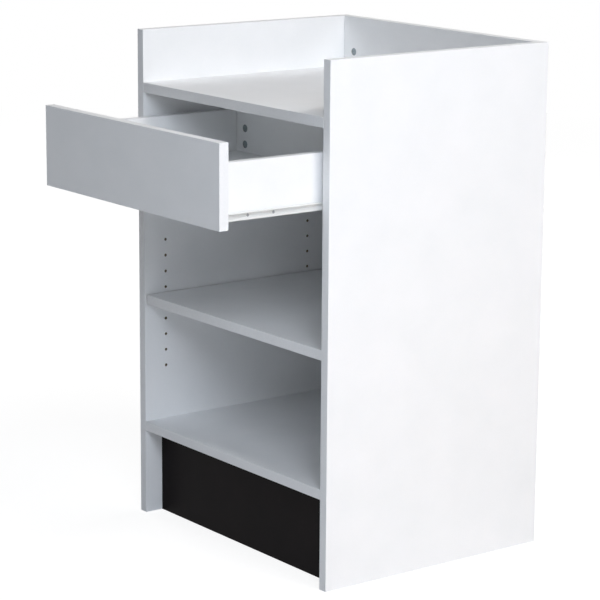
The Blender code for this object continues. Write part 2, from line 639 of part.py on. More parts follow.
side_panels = {side: make_side_panel(side, sign) for side, sign in SIDES}
back_panel = make_back_panel()
countertop = make_countertop()
bottom_deck = make_bottom_deck()
kick_plate = make_kick_plate()
make_adjustable_shelf()
make_shelf_pins()
drawer_front = make_drawer_front()
drawer_sides = {side: make_drawer_side(side, sign) for side, sign in SIDES}
drawer_back = make_drawer_back()
make_drawer_bottom()
cabinet_rails = {side: make_cabinet_rail(side, sign) for side, sign in SIDES}
drawer_rails = {side: make_drawer_rail(side, sign) for side, sign in SIDES}
make_rollers(cabinet_rails, drawer_rails)
make_rail_screws(cabinet_rails, drawer_rails, side_panels, drawer_sides)
make_carcass_fittings(side_panels, back_panel, countertop, bottom_deck, kick_plate)
make_drawer_fittings(drawer_front, drawer_back, drawer_sides)
cut_drillings()
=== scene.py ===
import json
import math

import bmesh
import bpy
from mathutils import Matrix, Vector


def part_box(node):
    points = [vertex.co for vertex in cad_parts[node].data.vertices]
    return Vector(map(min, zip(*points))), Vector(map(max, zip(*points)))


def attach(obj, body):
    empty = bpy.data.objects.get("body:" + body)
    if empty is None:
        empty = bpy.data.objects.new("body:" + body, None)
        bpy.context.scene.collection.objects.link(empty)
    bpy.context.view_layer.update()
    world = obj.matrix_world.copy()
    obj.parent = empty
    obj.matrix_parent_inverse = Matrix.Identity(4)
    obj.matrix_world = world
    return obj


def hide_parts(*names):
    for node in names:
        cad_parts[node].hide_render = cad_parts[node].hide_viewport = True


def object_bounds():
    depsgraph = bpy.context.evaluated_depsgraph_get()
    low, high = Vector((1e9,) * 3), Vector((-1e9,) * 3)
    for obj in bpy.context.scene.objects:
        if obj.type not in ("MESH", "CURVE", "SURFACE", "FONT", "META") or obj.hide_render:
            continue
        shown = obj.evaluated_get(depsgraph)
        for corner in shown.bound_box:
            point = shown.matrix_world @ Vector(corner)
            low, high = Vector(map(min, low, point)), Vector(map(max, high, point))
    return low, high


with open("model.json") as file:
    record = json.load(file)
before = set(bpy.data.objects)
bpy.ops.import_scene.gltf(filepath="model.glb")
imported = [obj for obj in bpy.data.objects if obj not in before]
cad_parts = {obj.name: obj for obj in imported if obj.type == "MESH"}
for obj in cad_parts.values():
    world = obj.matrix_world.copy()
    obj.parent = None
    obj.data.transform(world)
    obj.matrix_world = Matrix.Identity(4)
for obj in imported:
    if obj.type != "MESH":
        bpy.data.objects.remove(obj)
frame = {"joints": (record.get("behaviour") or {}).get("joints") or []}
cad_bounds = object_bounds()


# Camera: a long lens from the cashier's side, to the right of the counter and a little above its top
# edge, so that the open front and the right side panel both show.
CAMERA_PLACE = (3.5795, -2.66435, 1.4567)
CAMERA_AZIMUTH = 53.111
CAMERA_ELEVATION = 12.489
CAMERA_ROLL = 0.407
CAMERA_LENS = 144.16
CAMERA_REACH = 200.0         # past the far edge of the floor

camera = bpy.data.objects.new("camera", bpy.data.cameras.new("camera"))
bpy.context.scene.collection.objects.link(camera)
camera.data.lens = CAMERA_LENS
camera.data.clip_end = CAMERA_REACH
camera.matrix_world = (
    Matrix.Translation(CAMERA_PLACE)
    @ Matrix.Rotation(math.radians(CAMERA_AZIMUTH), 4, "Z")
    @ Matrix.Rotation(math.radians(90.0 - CAMERA_ELEVATION), 4, "X")
    @ Matrix.Rotation(math.radians(CAMERA_ROLL), 4, "Z"))
bpy.context.scene.camera = camera
bpy.context.scene.view_settings.view_transform = "Standard"


# Studio: round lamps, all aimed at the middle of the counter: a high softbox beside the right panel, one
# before the open front and a weak low one, a small warm one near the floor that evens the right panel, and
# two for the back and the left panel. The floor shows white and keeps a light shadow.
SOFTBOXES = (                # name, colour, azimuth, elevation, distance, diameter, watts
    ("key_lamp", "#FFFAF6", 98.0, 50.0, 6.0, 2.5, 166.0),
    ("front_lamp", "#EDF4FF", 60.0, 30.0, 4.5, 2.0, 88.0),
    ("low_lamp", "#F4F8FF", 55.0, 5.0, 3.0, 1.0, 8.0),
    ("side_lamp", "#FFDCBC", 96.0, -13.0, 1.5, 0.25, 1.4),
    ("back_lamp", "#FFFFFF", 180.0, 10.0, 6.0, 2.4, 205.0),
    ("left_lamp", "#FFFFFF", 268.0, 10.0, 6.0, 2.4, 140.0))
SKY_COLOUR = "#D5E2F5"
SKY_STRENGTH = 0.01
FLOOR_COLOUR = "#D9DBDD"
FLOOR_SHOWN = "#8E8E8E"      # near the counter, the part of the floor's look that takes shadow
FLOOR_WHITENESS = 0.86       # and the even rest of it
FLOOR_NEAR, FLOOR_FAR = 2.5, 6.0             # between them that look fades to plain white
FLOOR_SIZE = 120.0
ROLLED_PAINT = 0.004         # texture that a paint roller leaves


def linear(hex_colour):
    """Turn an sRGB hex colour into the linear one that Blender's sockets take."""
    channels = [int(hex_colour[place:place + 2], 16) / 255 for place in (1, 3, 5)]
    return [c / 12.92 if c <= 0.04045 else ((c + 0.055) / 1.055) ** 2.4 for c in channels] + [1.0]


def add_node(tree, kind, settings=None, links=None):
    """Add a node: settings fill its own fields (small first letter) or sockets, and links feed sockets."""
    made = tree.nodes.new("ShaderNode" + kind)
    for key, value in (settings or {}).items():
        if isinstance(key, str) and key[0].islower():
            setattr(made, key, value)
        else:
            made.inputs[key].default_value = value
    for key, source in (links or {}).items():
        tree.links.new(source, made.inputs[key])
    return made


def seen_directly(tree):
    """1 for the rays that show the background itself, which are those of the camera, gloss and glass."""
    path = add_node(tree, "LightPath").outputs
    mirrored = add_node(tree, "Math", {"operation": "MAXIMUM"},
                        {0: path["Is Glossy Ray"], 1: path["Is Transmission Ray"]})
    return add_node(tree, "Math", {"operation": "MAXIMUM"},
                    {0: path["Is Camera Ray"], 1: mirrored.outputs[0]}).outputs[0]


# A softbox's azimuth goes round the counter from its open front, towards its right panel.
middle = (cad_bounds[0] + cad_bounds[1]) / 2
for name, colour, azimuth, elevation, distance, diameter, watts in SOFTBOXES:
    softbox = bpy.data.objects.new(name, bpy.data.lights.new(name, "AREA"))
    bpy.context.scene.collection.objects.link(softbox)
    softbox.data.shape = "DISK"
    softbox.data.size = diameter
    softbox.data.energy = watts
    softbox.data.color = linear(colour)[:3]
    softbox.matrix_world = (
        Matrix.Translation(middle)
        @ Matrix.Rotation(math.radians(azimuth), 4, "Z")
        @ Matrix.Rotation(math.radians(90.0 - elevation), 4, "X")
        @ Matrix.Translation((0.0, 0.0, distance)))

sky = bpy.data.worlds.new("studio_sky")
bpy.context.scene.world = sky
sky.use_nodes = True
sky.node_tree.nodes.clear()
dim = add_node(sky.node_tree, "Background", {"Color": linear(SKY_COLOUR), "Strength": SKY_STRENGTH})
white = add_node(sky.node_tree, "Background", {"Color": linear("#FFFFFF"), "Strength": 1.0})
either = add_node(sky.node_tree, "MixShader", {},
                  {0: seen_directly(sky.node_tree), 1: dim.outputs[0], 2: white.outputs[0]})
add_node(sky.node_tree, "OutputWorld", {}, {"Surface": either.outputs[0]})

# The floor has a flat pale paint, which its fine roller texture keeps from looking like glass.
floor_paint = bpy.data.materials.new("matt_floor_paint")
floor_paint.use_nodes = True
paint_tree = floor_paint.node_tree
paint_tree.nodes.clear()
place = add_node(paint_tree, "TexCoord").outputs["Object"]
roller_texture = add_node(paint_tree, "TexNoise", {"Scale": 1 / ROLLED_PAINT}, {"Vector": place})
texture_bump = add_node(paint_tree, "Bump", {"Strength": 0.1, "Distance": 0.0002},
                        {"Height": roller_texture.outputs[0]})
matt = add_node(paint_tree, "BsdfDiffuse", {"Color": linear(FLOOR_COLOUR)}, {"Normal": texture_bump.outputs[0]})
glow = add_node(paint_tree, "Emission", {"Color": linear("#FFFFFF"), "Strength": FLOOR_WHITENESS})
shaded = add_node(paint_tree, "BsdfDiffuse", {"Color": linear(FLOOR_SHOWN)})
near = add_node(paint_tree, "AddShader", {}, {0: glow.outputs[0], 1: shaded.outputs[0]})
far = add_node(paint_tree, "Emission", {"Color": linear("#FFFFFF"), "Strength": 1.0})
from_middle = add_node(paint_tree, "VectorMath", {"operation": "LENGTH"}, {0: place})
fade = add_node(paint_tree, "MapRange", {1: FLOOR_NEAR, 2: FLOOR_FAR}, {0: from_middle.outputs["Value"]})
shown = add_node(paint_tree, "MixShader", {}, {0: fade.outputs[0], 1: near.outputs[0], 2: far.outputs[0]})
painted = add_node(paint_tree, "MixShader", {},
                   {0: seen_directly(paint_tree), 1: matt.outputs[0], 2: shown.outputs[0]})
add_node(paint_tree, "OutputMaterial", {}, {"Surface": painted.outputs[0]})

floor_shape = bmesh.new()
bmesh.ops.create_grid(floor_shape, x_segments=1, y_segments=1, size=FLOOR_SIZE / 2)
floor_mesh = bpy.data.meshes.new("studio_floor")
floor_shape.to_mesh(floor_mesh)
floor_shape.free()
floor_mesh.materials.append(floor_paint)
floor = bpy.data.objects.new("studio_floor", floor_mesh)
bpy.context.scene.collection.objects.link(floor)
floor.location.z = cad_bounds[0].z


# Side panels: two full-height ends cut from 3/4 in particle board, pressed with white melamine paper on
# both faces. Front, top and rear edges have white tape, and two columns of holes take the shelf pins.
TAPE = 0.0008                # edge tape thickness
TAPE_ROUND = 0.0006          # its corners, scraped round after gluing
TAPE_STEPS = 3
PAPER_CLOUD = 0.09           # paper shade drifts over about 90 mm
PEARL_GRAIN = 0.0035         # press plate's pearl, 0.5 mm in fact, drawn 3.5 mm so that it shows
PEARL_SHARE = 0.45           # of the pearl in the face's shade, beside the clouds
WIPE_MARK = 0.06             # patches of higher and lower gloss left by wiping
CHIP = 0.003                 # wood chips of the core, about 3 mm long
DIE_MARK = 0.004             # marks left in the tape by its die, finer in fact, drawn 4 mm so that they show
PIN_HOLE_RADIUS, PIN_HOLE_DEPTH = 0.0028, 0.0103
PIN_ROWS = 9
PIN_PITCH = 0.03175
PIN_FIRST_RISE = 0.1081      # lowest hole above the deck
OVERSHOOT = 0.001            # of a cutting shape past the face that it cuts
SIDES = (("left", -1), ("right", 1))
DIRECTIONS = {"left": (0, -1), "right": (0, 1), "front": (1, -1), "back": (1, 1),
              "bottom": (2, -1), "top": (2, 1)}


def start_material(name):
    """A material with its Principled shader, its nodes, and the piece's own coordinates in metres."""
    material = bpy.data.materials.new(name)
    material.use_nodes = True
    tree = material.node_tree
    return material, tree, tree.nodes["Principled BSDF"], add_node(tree, "TexCoord").outputs["Object"]


def pressed_laminate(name, pale, deep, gloss, shine, reflection):
    """Resin-soaked paper pressed on board: an even satin face with a fine pearl that breaks up lights."""
    material, tree, shader, place = start_material(name)
    cloud = add_node(tree, "TexNoise", {"Scale": 1 / PAPER_CLOUD, "Detail": 3.0}, {"Vector": place})
    pearl = add_node(tree, "TexNoise", {"Scale": 1 / PEARL_GRAIN, "Detail": 2.0, "Roughness": 0.6},
                     {"Vector": place})
    shade = add_node(tree, "Math", {"operation": "MULTIPLY_ADD", 1: PEARL_SHARE},
                     {0: pearl.outputs[0], 2: cloud.outputs[0]})
    spread = add_node(tree, "MapRange", {1: 0.45, 2: 1.0}, {0: shade.outputs[0]})
    colour = add_node(tree, "Mix", {"data_type": "RGBA", 6: linear(pale), 7: linear(deep)},
                      {0: spread.outputs[0]})
    tree.links.new(colour.outputs[2], shader.inputs["Base Color"])
    wiped = add_node(tree, "TexNoise", {"Scale": 1 / WIPE_MARK, "Detail": 4.0}, {"Vector": place})
    satin = add_node(tree, "MapRange", {1: 0.3, 2: 0.7, 3: gloss, 4: shine}, {0: wiped.outputs[0]})
    tree.links.new(satin.outputs[0], shader.inputs["Roughness"])
    bump = add_node(tree, "Bump", {"Strength": 0.12, "Distance": 0.0002}, {"Height": pearl.outputs[0]})
    tree.links.new(bump.outputs[0], shader.inputs["Normal"])
    shader.inputs["IOR"].default_value = 1.5
    shader.inputs["Specular IOR Level"].default_value = reflection
    return material


def chip_core():
    """Raw particle board: compressed wood chips, grey-tan with darker bark specks, matt and open."""
    material, tree, shader, place = start_material("raw_particle_board")
    chips = add_node(tree, "TexVoronoi", {"Scale": 1 / CHIP, "Randomness": 1.0}, {"Vector": place})
    grey = add_node(tree, "RGBToBW", {}, {0: chips.outputs["Color"]})
    colour = add_node(tree, "Mix", {"data_type": "RGBA", 6: linear("#A4937B"), 7: linear("#64584A")},
                      {0: grey.outputs[0]})
    tree.links.new(colour.outputs[2], shader.inputs["Base Color"])
    bump = add_node(tree, "Bump", {"Strength": 0.5, "Distance": 0.0003}, {"Height": grey.outputs[0]})
    tree.links.new(bump.outputs[0], shader.inputs["Normal"])
    shader.inputs["Roughness"].default_value = 0.9
    shader.inputs["Specular IOR Level"].default_value = 0.2
    return material


def extruded_tape(name, pale, deep):
    """Extruded PVC: its die leaves faint marks on it, and it is a little smoother than the faces."""
    material, tree, shader, place = start_material(name)
    lines = add_node(tree, "TexNoise", {"Scale": 1 / DIE_MARK, "Detail": 2.0}, {"Vector": place})
    colour = add_node(tree, "Mix", {"data_type": "RGBA", 6: linear(pale), 7: linear(deep)},
                      {0: lines.outputs[0]})
    tree.links.new(colour.outputs[2], shader.inputs["Base Color"])
    satin = add_node(tree, "MapRange", {3: 0.3, 4: 0.42}, {0: lines.outputs[0]})
    tree.links.new(satin.outputs[0], shader.inputs["Roughness"])
    bump = add_node(tree, "Bump", {"Strength": 0.08, "Distance": 0.0001}, {"Height": lines.outputs[0]})
    tree.links.new(bump.outputs[0], shader.inputs["Normal"])
    shader.inputs["IOR"].default_value = 1.53
    shader.inputs["Specular IOR Level"].default_value = 0.25
    return material


white_melamine = pressed_laminate("white_melamine_face", "#F5F6F7", "#F0F2F3", 0.36, 0.46, 0.35)
core = chip_core()
white_tape = extruded_tape("white_pvc_edge_tape", "#F1F2F3", "#E9EBED")


def box_shape(low, high):
    shape = bmesh.new()
    bmesh.ops.create_cube(shape, size=1.0)
    size = Matrix.Diagonal((*(high - low), 1.0))
    bmesh.ops.transform(shape, matrix=Matrix.Translation((low + high) / 2) @ size, verts=shape.verts)
    return shape


def to_mesh(name, shape, *materials, smooth=None):
    """Close a bmesh into a mesh; edges sharper than smooth, in degrees, stay sharp."""
    mesh = bpy.data.meshes.new(name)
    shape.to_mesh(mesh)
    shape.free()
    for material in materials:
        mesh.materials.append(material)
    if smooth:
        mesh.shade_smooth()
        mesh.set_sharp_from_angle(angle=math.radians(smooth))
    return mesh


def add_piece(name, mesh, body, slot, *nodes, place=None):
    piece = bpy.data.objects.new(name, mesh)
    bpy.context.scene.collection.objects.link(piece)
    if place:
        piece.matrix_world = place
    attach(piece, body)
    if nodes:
        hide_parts(*nodes)
    return piece


def add_tape(name, low, high, direction, butted, tape, body, slot):
    """A strip glued on one edge of a board; its ends are square where they butt against another strip."""
    axis, way = DIRECTIONS[direction]
    strip_low, strip_high = low.copy(), high.copy()
    if way > 0:
        strip_low[axis] = high[axis] - TAPE
    else:
        strip_high[axis] = low[axis] + TAPE
    shape = box_shape(strip_low, strip_high)
    outer = high[axis] if way > 0 else low[axis]
    free = [edge for edge in shape.edges
            if all(abs(corner.co[axis] - outer) < 1e-6 for corner in edge.verts)
            and not any(all(abs(corner.co[other] - (strip_high if sign > 0 else strip_low)[other]) < 1e-6
                            for corner in edge.verts) for other, sign in butted)]
    bmesh.ops.bevel(shape, geom=free, offset=TAPE_ROUND, segments=TAPE_STEPS, profile=0.5, affect="EDGES")
    piece = add_piece(f"{name}_{direction}_tape", to_mesh(f"{name}_{direction}_tape", shape, tape, smooth=60),
                      body, slot)
    piece.modifiers.new("flat_faces", "WEIGHTED_NORMAL").keep_sharp = True


def add_board(node, taped, face, tape, body, slot="white_melamine"):
    """Board in a node's place: faced on its two broad sides, taped on some edges, raw on the others."""
    low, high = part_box(node)
    placed = []
    for direction in taped:
        axis, way = DIRECTIONS[direction]
        add_tape(node, low, high, direction, placed, tape, body, slot)
        if way > 0:
            high[axis] -= TAPE
        else:
            low[axis] += TAPE
        placed.append((axis, way))
    shape = box_shape(low, high)
    size = high - low
    broad = min(range(3), key=lambda axis: size[axis])
    for side in shape.faces:
        side.material_index = 0 if abs(side.normal[broad]) > 0.5 else 1
    return add_piece(node + "_board", to_mesh(node + "_board", shape, face, core), body, slot, node)


def cut(piece, shape, *materials, operation="DIFFERENCE"):
    """Cut a closed shape out of a piece, or join it on; what comes from the shape has its material."""
    tool = bpy.data.objects.new("tool", to_mesh("tool", shape, *materials))
    bpy.context.scene.collection.objects.link(tool)
    step = piece.modifiers.new("cut", "BOOLEAN")
    step.operation = operation
    step.solver = "EXACT"
    step.object = tool
    step.material_mode = "TRANSFER"
    view = bpy.context.evaluated_depsgraph_get()
    piece.data = bpy.data.meshes.new_from_object(piece.evaluated_get(view))
    piece.modifiers.remove(step)
    bpy.data.objects.remove(tool)


def drill(piece, bores, lining=core, sides=32):
    """Bore round holes; each is its mouth, direction, radius and depth."""
    shape = bmesh.new()
    for mouth, direction, radius, depth in bores:
        turn = direction.to_track_quat("Z", "Y").to_matrix().to_4x4()
        middle = mouth + direction * (depth - OVERSHOOT) / 2
        bmesh.ops.create_cone(shape, cap_ends=True, segments=sides, radius1=radius, radius2=radius,
                              depth=depth + OVERSHOOT, matrix=Matrix.Translation(middle) @ turn)
    cut(piece, shape, lining)


side_panels = {}
deck_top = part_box("bottom_deck")[1].z
for side, sign in SIDES:
    panel = add_board(f"{side}_side_panel", ("front", "back", "top"), white_melamine, white_tape, "cabinet")
    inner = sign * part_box("right_side_panel")[0].x
    columns = [sum(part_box(f"shelf_pin_{place}_{side}"), Vector()).y / 2 for place in ("front", "rear")]
    holes = []
    for column in columns:
        for row in range(PIN_ROWS):
            mouth = Vector((inner, column, deck_top + PIN_FIRST_RISE + row * PIN_PITCH))
            holes.append((mouth, Vector((sign, 0, 0)), PIN_HOLE_RADIUS, PIN_HOLE_DEPTH))
    drill(panel, holes)
    side_panels[side] = panel


# Back panel: the side that faces the customer, between the side panels from the floor to the top edge.
# Same white board, taped along its top edge only, and drawn up to the side panels by six cams.
back_panel = add_board("back_panel", ("top",), white_melamine, white_tape, "cabinet")


# Countertop: the floor of the register well, four inches below the top edges. White board with a taped
# front edge, held by four cams from below.
countertop = add_board("countertop", ("front",), white_melamine, white_tape, "cabinet")


# Bottom deck: the fixed lowest board, over the toe space. White board with a taped front edge like the
# countertop, and held by four cams from below in the same way.
bottom_deck = add_board("bottom_deck", ("front",), white_melamine, white_tape, "cabinet")


# Kick plate: closes the toe space, set back from the front edges so that shoes fit under. The same board
# with black laminate, which is even and satin and hardly mirrors what is round it.
black_laminate = pressed_laminate("black_laminate_face", "#1C1718", "#151213", 0.28, 0.34, 0.03)
kick_plate = add_board("kick_plate", (), black_laminate, white_tape, "cabinet", "black_laminate")


# Adjustable shelf: a loose board that lies on four pins, so that it lifts off and can go into another
# row of holes. It is taped front and rear.
add_board("adjustable_shelf", ("front", "back"), white_melamine, white_tape, "shelf")


# Drawer box: front of 3/4 in board taped all round, sides and back of 5/8 in board taped along the top and
# bottom, and a thin white hardboard bottom slid into grooves in all four.
GROOVE_GAP = 0.0003
HARDBOARD_FIBRE = 0.004      # lacquered fibre mottling, drawn 4 mm
HARDBOARD_EASE = 0.0004      # its edges, rounded by the saw

drawer_front = add_board("drawer_front", ("left", "right", "top", "bottom"), white_melamine, white_tape,
                         "drawer")
drawer_sides = {side: add_board(f"drawer_side_{side}", ("top", "bottom"), white_melamine, white_tape, "drawer")
                for side, _ in SIDES}
drawer_back = add_board("drawer_back", ("top", "bottom"), white_melamine, white_tape, "drawer")


def lacquered_hardboard():
    """Hard-pressed fibre under thin white lacquer: duller than melamine, with a soft fibre mottle."""
    material, tree, shader, place = start_material("white_lacquered_hardboard")
    fibre = add_node(tree, "TexNoise", {"Scale": 1 / HARDBOARD_FIBRE, "Detail": 5.0, "Distortion": 0.8},
                     {"Vector": place})
    colour = add_node(tree, "Mix", {"data_type": "RGBA", 6: linear("#F5F6F6"), 7: linear("#ECEEEE")},
                      {0: fibre.outputs[0]})
    tree.links.new(colour.outputs[2], shader.inputs["Base Color"])
    dull = add_node(tree, "MapRange", {3: 0.45, 4: 0.65}, {0: fibre.outputs[0]})
    tree.links.new(dull.outputs[0], shader.inputs["Roughness"])
    bump = add_node(tree, "Bump", {"Strength": 0.15, "Distance": 0.0002}, {"Height": fibre.outputs[0]})
    tree.links.new(bump.outputs[0], shader.inputs["Normal"])
    return material


bottom_low, bottom_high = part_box("drawer_bottom")
reach = Vector((GROOVE_GAP, GROOVE_GAP, GROOVE_GAP))
for board in (drawer_front, drawer_back, *drawer_sides.values()):
    cut(board, box_shape(bottom_low - reach, bottom_high + reach), core)
hardboard_shape = box_shape(bottom_low, bottom_high)
bmesh.ops.bevel(hardboard_shape, geom=hardboard_shape.edges, offset=HARDBOARD_EASE, segments=2,
                profile=0.5, affect="EDGES")
add_piece("drawer_bottom_panel", to_mesh("drawer_bottom_panel", hardboard_shape, lacquered_hardboard()),
          "drawer", "white_hardboard", "drawer_bottom")


# Shelf pins: 5 mm steel pins, turned and zinc plated, pushed into the side panels up to a collar. Their
# other ends stand out from the panels, and the shelf lies on them.
PIN_SIDES = 32
PIN_RADIUS, COLLAR_RADIUS = 0.0025, 0.0035
PIN_EASE, PIN_POINT = 0.0004, 0.0005         # its broken edges, and its end under the shelf
COLLAR_NEAR, COLLAR_FAR = 0.008, 0.0095      # the collar's two faces, from the pin's end in the panel
METAL_BLOTCH = 0.002         # passivation blotches of about 2 mm


def turned_shape(outline, sides):
    """Turn an outline of (radius, height) points round Z."""
    shape = bmesh.new()
    corners = [shape.verts.new((radius, 0.0, height)) for radius, height in outline]
    line = [shape.edges.new(pair) for pair in zip(corners, corners[1:])]
    bmesh.ops.spin(shape, geom=corners + line, axis=(0, 0, 1), cent=(0, 0, 0), angle=2 * math.pi,
                   steps=sides, use_duplicate=False)
    bmesh.ops.remove_doubles(shape, verts=shape.verts, dist=1e-6)
    bmesh.ops.recalc_face_normals(shape, faces=shape.faces)
    return shape


def plated_metal(name, pale, deep, smoothest, roughest):
    """Zinc over steel or cast zinc: a cool grey metal, blotched by its passivation and softly reflecting."""
    material, tree, shader, place = start_material(name)
    blotch = add_node(tree, "TexNoise", {"Scale": 1 / METAL_BLOTCH, "Detail": 4.0}, {"Vector": place})
    colour = add_node(tree, "Mix", {"data_type": "RGBA", 6: linear(pale), 7: linear(deep)},
                      {0: blotch.outputs[0]})
    tree.links.new(colour.outputs[2], shader.inputs["Base Color"])
    satin = add_node(tree, "MapRange", {3: smoothest, 4: roughest}, {0: blotch.outputs[0]})
    tree.links.new(satin.outputs[0], shader.inputs["Roughness"])
    shader.inputs["Metallic"].default_value = 1.0
    return material


def frame_at(point, up, along):
    """Place a piece: its Z points up and its X along."""
    side = up.cross(along)
    turn = Matrix((along, side, up)).transposed().to_4x4()
    return Matrix.Translation(point) @ turn


def box_point(node, direction):
    """The point of a node's box in a direction: its face, edge or corner there."""
    low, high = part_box(node)
    return Vector([high[axis] if direction[axis] > 0.5 else low[axis] if direction[axis] < -0.5
                   else (low[axis] + high[axis]) / 2 for axis in range(3)])


zinc_plate = plated_metal("bright_zinc_plated_steel", "#B9BEC2", "#8E9499", 0.28, 0.45)
pin_length = (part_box("shelf_pin_front_left")[1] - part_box("shelf_pin_front_left")[0]).x
pin_outline = ((0, 0), (PIN_RADIUS - PIN_EASE, 0), (PIN_RADIUS, PIN_EASE), (PIN_RADIUS, COLLAR_NEAR),
               (COLLAR_RADIUS - PIN_EASE, COLLAR_NEAR), (COLLAR_RADIUS, COLLAR_NEAR + PIN_EASE),
               (COLLAR_RADIUS, COLLAR_FAR - PIN_EASE), (COLLAR_RADIUS - PIN_EASE, COLLAR_FAR),
               (PIN_RADIUS, COLLAR_FAR), (PIN_RADIUS, pin_length - PIN_POINT),
               (PIN_RADIUS - PIN_POINT, pin_length), (0, pin_length))
pin_mesh = to_mesh("shelf_pin", turned_shape(pin_outline, PIN_SIDES), zinc_plate, smooth=40)
for side, sign in SIDES:
    for place in ("front", "rear"):
        node = f"shelf_pin_{place}_{side}"
        outward = Vector((sign, 0, 0))
        add_piece(f"{node}_turned", pin_mesh, "cabinet", "zinc_plated_steel", node,
                  place=frame_at(box_point(node, outward), -outward, Vector((0, 1, 0))))


# Cam fittings: a die-cast zinc cam in a round pocket near the end of a board turns on the head of a steel
# bolt that is screwed into the next board, and draws the two together. They need a cross screwdriver.
CAM_RADIUS = 0.0075
CAM_BELOW_BOLT = 0.0047      # the bolt's middle above the cam's foot
CAM_RIM = 0.001              # raised rim round the cam's face, with a ring sunk inside it
CAM_RING = 0.0008            # the ring's depth
CAM_HUB = 0.004              # radius of the hub that has the cross
BOLT_HEAD, BOLT_CORE = 0.0035, 0.0025        # its radius in the carrier's bore and in its thread
THREAD_LENGTH = 0.0105
CAM_SIDES, BOLT_SIDES = 48, 24
CAM_RECESS = 0.0001          # the cam's face under the board's
CAM_FIT = 0.0001             # gap round the cam
FIT = 0.0003                 # gap round a bolt or screw
CROSS_LENGTH, CROSS_WIDTH, CROSS_DEPTH = 0.0066, 0.0015, 0.003
CROSS_TAPER = (0.45, 0.7)    # a recess arm's length and width at its foot, as shares of those at its mouth
CROSS_TURN = 0.03            # in radians, keeps the recess's corners off the edges of the turned head


def cut_cross(mesh, length, width, depth, material):
    """Cut a cross recess into a mesh that several pieces will share: two arms that narrow downwards."""
    holder = bpy.data.objects.new("holder", mesh)
    bpy.context.scene.collection.objects.link(holder)
    for turn in (CROSS_TURN, CROSS_TURN + math.pi / 2):
        arm = box_shape(Vector((-length / 2, -width / 2, -depth)), Vector((length / 2, width / 2, OVERSHOOT)))
        for corner in arm.verts:
            if corner.co.z < 0:
                corner.co.x *= CROSS_TAPER[0]
                corner.co.y *= CROSS_TAPER[1]
        bmesh.ops.rotate(arm, verts=arm.verts, cent=(0, 0, 0), matrix=Matrix.Rotation(turn, 3, "Z"))
        cut(holder, arm, material)
    made = holder.data
    bpy.data.objects.remove(holder)
    made.shade_smooth()
    made.set_sharp_from_angle(angle=math.radians(35))
    return made


cast_zinc = plated_metal("die_cast_zinc", "#AEB7BB", "#7F888D", 0.35, 0.55)


def cam_mesh(name, height, setback):
    """Cam with its face at 0 and its bolt along X, as deep as the middle of the board."""
    outline = ((0, -height), (CAM_RADIUS - 0.0004, -height), (CAM_RADIUS, -height + 0.0004),
               (CAM_RADIUS, -0.0004), (CAM_RADIUS - 0.0003, 0), (CAM_RADIUS - CAM_RIM, 0),
               (CAM_RADIUS - CAM_RIM - 0.0003, -CAM_RING), (CAM_HUB + 0.0003, -CAM_RING),
               (CAM_HUB, -0.0002), (0, -0.0002))
    shape = turned_shape(outline, CAM_SIDES)
    bolt_depth = height - CAM_BELOW_BOLT
    bolt_end = setback + FIT + THREAD_LENGTH
    rod = turned_shape(((0, 0.004), (BOLT_HEAD, 0.004), (BOLT_HEAD, setback - FIT), (BOLT_CORE, setback + FIT),
                        (BOLT_CORE, bolt_end - 0.001), (BOLT_CORE - 0.0013, bolt_end), (0, bolt_end)),
                       BOLT_SIDES)
    bmesh.ops.transform(rod, matrix=frame_at(Vector((0, 0, -bolt_depth)), Vector((1, 0, 0)),
                                             Vector((0, 0, 1))), verts=rod.verts)
    mesh = to_mesh(name, shape, cast_zinc, zinc_plate)
    mesh = cut_cross(mesh, CROSS_LENGTH, CROSS_WIDTH, CROSS_DEPTH, cast_zinc)
    whole = bmesh.new()
    whole.from_mesh(mesh)
    rod_mesh = to_mesh("rod", rod)
    before = len(whole.faces)
    whole.from_mesh(rod_mesh)
    whole.faces.ensure_lookup_table()
    for face in whole.faces[before:]:
        face.material_index = 1
    bpy.data.meshes.remove(rod_mesh)
    return to_mesh(name, whole, cast_zinc, zinc_plate, smooth=35)


def add_cams(rows):
    """Each row: node, carrier board, receiver board, the cam's facing direction, way to the receiver."""
    meshes, pockets, bores = {}, {}, {}
    for node, carrier, receiver, body, facing, toward in rows:
        low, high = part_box(node)
        size = high - low
        height = abs(size.dot(facing))
        setback = abs(size.dot(toward)) - CAM_RADIUS - FIT - THREAD_LENGTH
        key = (round(height, 5), round(setback, 5))
        if key not in meshes:
            meshes[key] = cam_mesh("cam_fitting", height, setback)
        centre = box_point(node, facing - toward) + toward * CAM_RADIUS
        add_piece(f"{node}_cam", meshes[key], body, "zinc_plated_steel", node,
                  place=frame_at(centre, facing, toward))
        axis = centre - facing * (height - CAM_BELOW_BOLT)
        end = axis + toward * setback
        pockets.setdefault(carrier, []).append((centre + facing * CAM_RECESS, -facing, CAM_RADIUS + CAM_FIT,
                                                height + CAM_RECESS + FIT))
        pockets.setdefault(receiver, []).append((end + toward * FIT, toward, BOLT_CORE + FIT,
                                                 THREAD_LENGTH + FIT))
        bores.setdefault(carrier, []).append((end, -toward, BOLT_HEAD + FIT, setback))
    for board, holes in pockets.items():
        drill(board, holes)
    for board, holes in bores.items():
        drill(board, holes)


